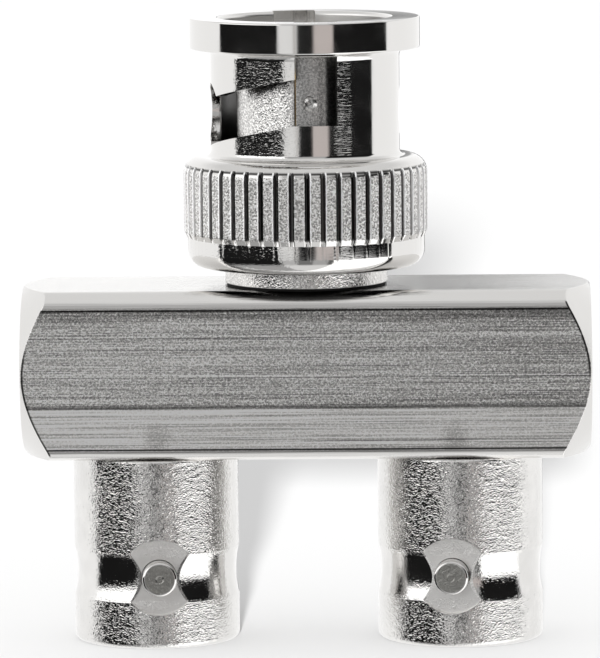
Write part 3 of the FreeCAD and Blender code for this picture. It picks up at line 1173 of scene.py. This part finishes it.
def between(value, low, high, to_low=0.0, to_high=1.0):
    """Value mapped softly from one range to another, and held at its ends."""
    inputs = {"Value": value, "From Min": low, "From Max": high, "To Min": to_low, "To Max": to_high}
    node = add_node("MapRange", inputs, interpolation_type="SMOOTHSTEP")
    return node.outputs["Result"]


def ridges(point, size, stretch=(1, 1, 1)):
    """Noise folded at its middle, which leaves crisp winding creases."""
    folded = gap(noise(point, size, stretch, 1.0), 0.5)
    return times(folded, 2.0)


def bump(height, depth, normal=None, strength=1.0):
    """Bump whose height of 0 to 1 stands for a depth in mm."""
    inputs = {"Height": height, "Distance": depth * MM, "Strength": strength}
    if normal:
        inputs["Normal"] = normal
    return add_node("Bump", inputs).outputs["Normal"]


def surface(shader, colour, rough, normal):
    """Feeds a shader its colour, roughness and normal."""
    for name, socket in (("Base Color", colour), ("Roughness", rough), ("Normal", normal)):
        shader.id_data.links.new(socket, shader.inputs[name])


def metal(shader, shade, rough, normal, colour=NICKEL):
    """Sets up a metal from sockets for its brightness, roughness and normal."""
    shader.inputs["Metallic"].default_value = 1.0
    surface(shader, mixed(1.0, colour, shade, "MULTIPLY"), rough, normal)


def plated(name, smooth, dull, peel, peel_size, colour=NICKEL):
    """Plated metal with orange peel all over, whose depth and size are in mm."""
    material, shader, point = new_material(name)
    drift = noise(point, 1.7, detail=4.0)
    shade = between(drift, 0.3, 0.7, 0.9, 1.0)
    rough = between(drift, 0.35, 0.65, smooth, dull)
    normal = bump(ridges(point, peel_size), peel)
    normal = bump(noise(point, 2.5 * peel_size), peel, normal)
    metal(shader, shade, rough, normal, colour)
    return material


def dress(material, *names):
    """Gives pieces one material all over."""
    for name in names:
        piece = bpy.data.objects[name]
        piece.data.materials.clear()
        piece.data.materials.append(material)
    print(material.name, "on", *names)


print("metal helpers ready")

# %% [markdown]
# ## Bar
#
# The bar keeps the drawing lines of its stock: long, fine and horizontal, some of them dark. The
# rounded long corners were rolled and are brighter, so they show the room as thin bands, with a
# painted black line where they meet the flats. On the flats the room's reflection is painted as
# light and dark bands, with painted shade lighter on the left and two painted spots of shade above
# the jacks.

# %% Bar material
material, shader, point = new_material("nickel_bar")
x, y, z, radius = sides(point)
height = gap(z, bar_axis)
depth = maths("ABSOLUTE", y)
upper_room = between(z, bar_axis, bar_axis + 0.1)
arris = mixed(upper_room, arris_radii[-1], arris_radii[1])
inner = less(bar_side / 2, arris)
over_height = maths("MAXIMUM", less(height, inner), 0.0)
over_depth = maths("MAXIMUM", less(depth, inner), 0.0)
reach = distance(over_height, over_depth)
stock = between(less(reach, arris), -0.035, -0.015)
into_corner = maths("MINIMUM", over_height, over_depth)
front_or_back = between(depth, bar_side / 2 - 0.1, bar_side / 2 - 0.05)
flat = times(stock, front_or_back, between(into_corner, 0.05, 0.0))
seam_offset = gap(height, less(inner, 0.05))
# Painted shade: a dark line where each long corner meets a flat.
seam_shade = times(stock, front_or_back, between(seam_offset, 0.08, 0.03))
fine_lines = noise(point, 0.055, (160, 1, 1), 3.0)
broad_lines = noise(point, 0.26, (110, 1, 1), 3.0)
speckle = noise(point, 0.1, (1.5, 1, 1), 3.0)
worms = between(ridges(point, 0.17), 0.0, 0.14, 1.9, 0.85)
calm = between(z, 14.4, 13.9, 0.0, 0.6)
worms = mixed(calm, times(worms, between(speckle, 0.3, 0.65, 0.55, 1.4)), 1.0)
scratches = faded(between(noise(point, 0.09, (240, 1, 1), 1.0), 0.66, 0.72, 0.0, 0.5))
level = maths("DIVIDE", less(z, bar_low.z), bar_side)
# The ramp paints light and dark bands across the front and back flats by height: painted reflections
# of the room, darker towards the top.
painted_bands = ramp(level, [
    (0.0, 1.1), (0.296, 1.1), (0.304, 1.3), (0.311, 0.25), (0.322, 0.35), (0.345, 0.68), (0.488, 0.75),
    (0.496, 0.35), (0.504, 1.4), (0.512, 0.8), (0.727, 0.75), (0.731, 0.3), (0.736, 1.1), (0.76, 0.75),
    (0.764, 0.36), (0.77, 0.75), (0.82, 0.72), (0.85, 0.4), (1.0, 0.34)])
# The last factor is painted shade: the flats are lighter on the left and darker on the right.
shade = times(between(fine_lines, 0.3, 0.65, 0.55, 1.45), between(broad_lines, 0.3, 0.6, 0.8, 1.12),
              worms, scratches, painted_bands, between(x, -16, 16, 1.12, 0.92))
# Two soft spots of painted shade, low on the bar above each jack.
shade_spot_place = (8.6, 12.3)
to_shade_spot = distance(less(maths("ABSOLUTE", x), shade_spot_place[0]), less(z, shade_spot_place[1]))
shade = times(shade, between(to_shade_spot, 0.2, 1.2, 0.68, 1.0))
shade = mixed(flat, mixed(stock, 0.95, 1.08), shade)
# Painted shade: dark lines along the seams of the long corners and along the arcs where the cones run
# out.
cone_slope = math.tan(math.radians(end_cone_angle))
cone_radius = maths("ADD", times(maths("ABSOLUTE", x), -cone_slope),
                    end_face_radius + half_length * cone_slope)
to_cone = less(cone_radius, distance(height, depth))
crease_part = between(x, 1, -1, between(z, 15.4, 16.4), between(z, 18.2, 16.8))
crease_shade = times(stock, front_or_back, between(to_cone, 0.16, 0.07), crease_part)
painted_dark_lines = maths("MAXIMUM", seam_shade, crease_shade)
shade = times(shade, faded(painted_dark_lines, 0.93))
rough = mixed(flat, 0.14, 0.4)
normal = bump(fine_lines, 0.01)
normal = bump(speckle, 0.016, normal, flat)
normal = bump(noise(point, 1.5, (6, 1, 1)), 0.02, normal)
metal(shader, shade, rough, normal)
dress(material, "square_bar")

# %% [markdown]
# ## Shells
#
# The shells are barrel plated with a coarse grain. The flats round the studs are satin, which the
# distance from the shell's own axis tells apart from the turned surface.

# %% Shell material
material, shader, point = new_material("nickel_shell")
x, y, z, radius = sides(point)
side = less(maths("ABSOLUTE", x), jack_places["right"])
from_axis = distance(side, y)
hollow_radius = arc_radius(waist_half, waist_depth)
off_level = gap(z, waist_level)
off_level = maths("MINIMUM", off_level, waist_half)
sag = maths("SQRT", less(hollow_radius ** 2, times(off_level, off_level)))
turned_radius = less(shell_radius + hollow_radius - waist_depth, sag)
face_part = times(between(from_axis, shell_bore_radius + 0.1, shell_bore_radius + 0.3),
                  between(less(turned_radius, from_axis), 0.03, 0.06),
                  between(z, 0.6, 0.8), between(z, shell_rear - 0.3, shell_rear - 0.5))
drift = noise(point, 1.7, detail=4.0)
calm = between(off_level, waist_half - 0.3, waist_half - 0.05, 0.25, 1.0)
normal = bump(ridges(point, 0.13, (1.4, 1.4, 1)), 0.022, strength=calm)
normal = bump(noise(point, 0.26, (1.4, 1.4, 1)), 0.022, normal, calm)
rough = mixed(face_part, between(drift, 0.35, 0.65, 0.05, 0.12), 0.42)
shade = mixed(face_part, between(drift, 0.3, 0.7, 0.95, 1.05), 1.3)
metal(shader, shade, rough, normal)
dress(material, "shell_left", "shell_right")

# %% [markdown]
# ## Neck, studs and end plugs
#
# The neck is grainy, and the groove at its foot is painted nearly black as shade. A stud's face is
# satin and only its rounded edge is bright. The end plugs are plain plate.

# %% Neck, stud and end plug materials
material, shader, point = new_material("nickel_neck")
x, y, z, radius = sides(point)
grain = noise(point, 0.13, detail=3.0)
# Painted shade: the groove at the foot of the neck is painted nearly black.
foot_shade = between(z, bar_high.z + foot_groove + 0.08, bar_high.z + foot_groove)
normal = bump(ridges(point, 0.16), 0.028)
normal = bump(grain, 0.02, normal)
shade = mixed(foot_shade, between(grain, 0.3, 0.7, 0.9, 1.15), 0.04)
metal(shader, shade, mixed(foot_shade, 0.14, 0.7), normal)
dress(material, "neck_and_spindle")

# A stud wears two: bright plate on its edge and satin plate on its face.
SATIN_STUD = (0.36, 0.355, 0.335)
stud_edge = plated("nickel_stud", 0.06, 0.1, 0.004, 0.2)
stud_face = plated("nickel_stud_face", 0.3, 0.4, 0.03, 0.16, colour=SATIN_STUD)
for piece in bpy.data.objects:
    if piece.name.startswith("bayonet_pin"):
        piece.data.materials.append(stud_edge)
        piece.data.materials.append(stud_face)
        print(stud_edge.name, "and", stud_face.name, "on", piece.name)
dress(plated("nickel_end_plug", 0.2, 0.3, 0.006, 0.3), "end_disc_left", "end_disc_right")

# %% [markdown]
# ## Coupling nut
#
# The sleeve and the flange are bright, with a few turning marks. The knurl is satin and a little
# grey, because the wheel that pressed it roughened every tooth. The walls and floors of its grooves
# are painted nearly black as shade, and one edge of each tooth carries a painted highlight. The
# bore below the flange and the flat rear face are darkened with painted shade.

# %% Nut material
material, shader, point = new_material("nickel_nut")
x, y, z, radius = sides(point)
in_knurl = times(between(z, knurl_bottom + 0.2, knurl_bottom + 0.32),
                 between(z, shoulder - 0.42, shoulder - 0.55))
land = times(in_knurl, between(radius, 7.05, 7.08))
inside = between(radius, 5.05, 4.95)
# Painted shade in the bore below the flange.
bore_shade = times(inside, between(z, front_level - 1.7, front_level - 2.3))
# Painted shade on the flat rear face of the nut, which faces the top of the bar.
underside_shade = times(between(z, rear_level + 0.03, rear_level + 0.01), between(radius, 6.2, 6.0))
grain = noise(point, 0.11, detail=4.0)
peel = ridges(point, 0.12, (1.9, 1.9, 1))
turning = noise(point, 0.05, (14, 14, 1), 2.0)
on_flange = between(z, flange_bottom - 0.3, flange_bottom)
on_left = between(x, 0.5, -1.5)
peel_strength = times(faded(on_flange, 0.97), mixed(on_left, 0.03, 0.62))
# One edge of each tooth carries a painted highlight: the edge that faces away from the front and the
# back.
around = times(maths("ARCTAN2", y, x), teeth / (2 * math.pi))
phase = maths("FRACT", maths("ADD", around, 100.0))
lower_edge = times(between(phase, 0.09, 0.11), between(phase, 0.26, 0.23))
upper_edge = times(between(phase, 0.91, 0.89), between(phase, 0.74, 0.77))
outward = between(times(x, y), -0.5, 0.5)
edge_highlight = maths("ADD", times(upper_edge, outward), times(lower_edge, faded(outward)))
edge_highlight = times(in_knurl, edge_highlight)
# Painted shade: the walls and floors of the knurl's grooves are painted nearly black.
groove_shade = times(in_knurl, between(radius, 7.04, 7.0))
shade = mixed(land, 1.0, between(grain, 0.32, 0.68, 0.42, 1.6))
shade = mixed(groove_shade, shade, 0.08)
shade = mixed(edge_highlight, shade, between(grain, 0.3, 0.6, 1.2, 2.2))
shade = times(shade, faded(bore_shade, 0.82), faded(underside_shade, 0.95))
rough = mixed(land, between(noise(point, 2.0), 0.35, 0.65, 0.05, 0.1), 0.5)
rough = mixed(maths("MAXIMUM", inside, edge_highlight), rough, 0.3)
normal = bump(peel, 0.009, strength=peel_strength)
streaks = times(between(x, 1.6, 1.9), between(x, 3.0, 2.6))
turning_strength = times(faded(on_flange, 0.8), maths("MAXIMUM", streaks, mixed(on_left, 0.25, 0.7)))
normal = bump(turning, 0.004, normal, turning_strength)
normal = bump(grain, 0.05, normal, land)
normal = bump(times(z, -1.0), 0.14, normal, edge_highlight)
metal(shader, shade, rough, normal)
dress(material, "knurled_nut")

# %% [markdown]
# ## Outer contact
#
# The fingers of the outer contact are smooth and bright on one side of the slit, and rougher,
# darker and browner on the other. They are sprung inwards a little towards their tips, so they look
# slightly upwards. The slope is so small that a bump gives it as well as the mesh could.

# %% Outer contact material
finger_taper = 0.09
material, shader, point = new_material("nickel_tube")
x, y, z, radius = sides(point)
grain = noise(point, 0.12, detail=3.0)
satin = between(x, -0.9, -0.5)
rough = mixed(satin, between(grain, 0.3, 0.7, 0.08, 0.2), 0.24)
normal = bump(times(z, -1.0), finger_taper)
normal = bump(ridges(point, 0.15), 0.026, normal, faded(satin, 0.9))
normal = bump(grain, 0.008, normal)
shade = times(between(grain, 0.35, 0.65, 0.6, 1.1), mixed(satin, 1.1, (0.85, 0.80, 0.75)))
metal(shader, shade, rough, normal)
dress(material, "finger_tube")

# %% [markdown]
# ## Plastic and rubber
#
# The small inner pieces only show from above or below. The insulators are white fluoroplastic that
# lets a little light in, with the rings of the turning tool. The gasket is soft silicone.

# %% Plastic and rubber materials
material, shader, point = new_material("ptfe")
rings = noise(point, 0.08, (1, 1, 12))
cloud = noise(point, 1.2)
shader.inputs["Subsurface Weight"].default_value = 0.2
shader.inputs["Subsurface Scale"].default_value = 0.4 * MM
surface(shader, mixed(cloud, (0.80, 0.80, 0.78), (0.86, 0.86, 0.84)),
        between(cloud, 0.3, 0.7, 0.42, 0.55), bump(rings, 0.004))
dress(material, "white_nose_left", "white_nose_right", "white_core")

material, shader, point = new_material("silicone")
cloud = noise(point, 0.6, detail=3.0)
surface(shader, mixed(cloud, (0.42, 0.10, 0.06), (0.50, 0.14, 0.09)),
        between(cloud, 0.3, 0.7, 0.5, 0.65), bump(noise(point, 0.1), 0.006))
dress(material, "rubber_ring")

# %% [markdown]
# ## Gold, brass and steel
#
# The pin and the sockets are gold plated. The bar that joins them is brass, and the springy rings
# inside the nut are bare steel. The bus bar, the washer and the retaining ring keep their CAD shape.

# %% Gold, brass and steel materials
GOLD = (0.90, 0.66, 0.32)
BRASS = (0.75, 0.55, 0.25)
STEEL = (0.52, 0.51, 0.50)
gold = plated("gold_contact", 0.14, 0.22, 0.006, 0.2, colour=GOLD)
dress(gold, "centre_pin", "socket_left", "socket_right")
dress(plated("brass_bar", 0.25, 0.35, 0.01, 0.2, colour=BRASS), "bus_bar")
dress(plated("nickel_washer", 0.18, 0.26, 0.006, 0.2), "thrust_washer")
steel = plated("spring_steel", 0.25, 0.33, 0.006, 0.15, colour=STEEL)
dress(steel, "wavy_ring", "retaining_ring")
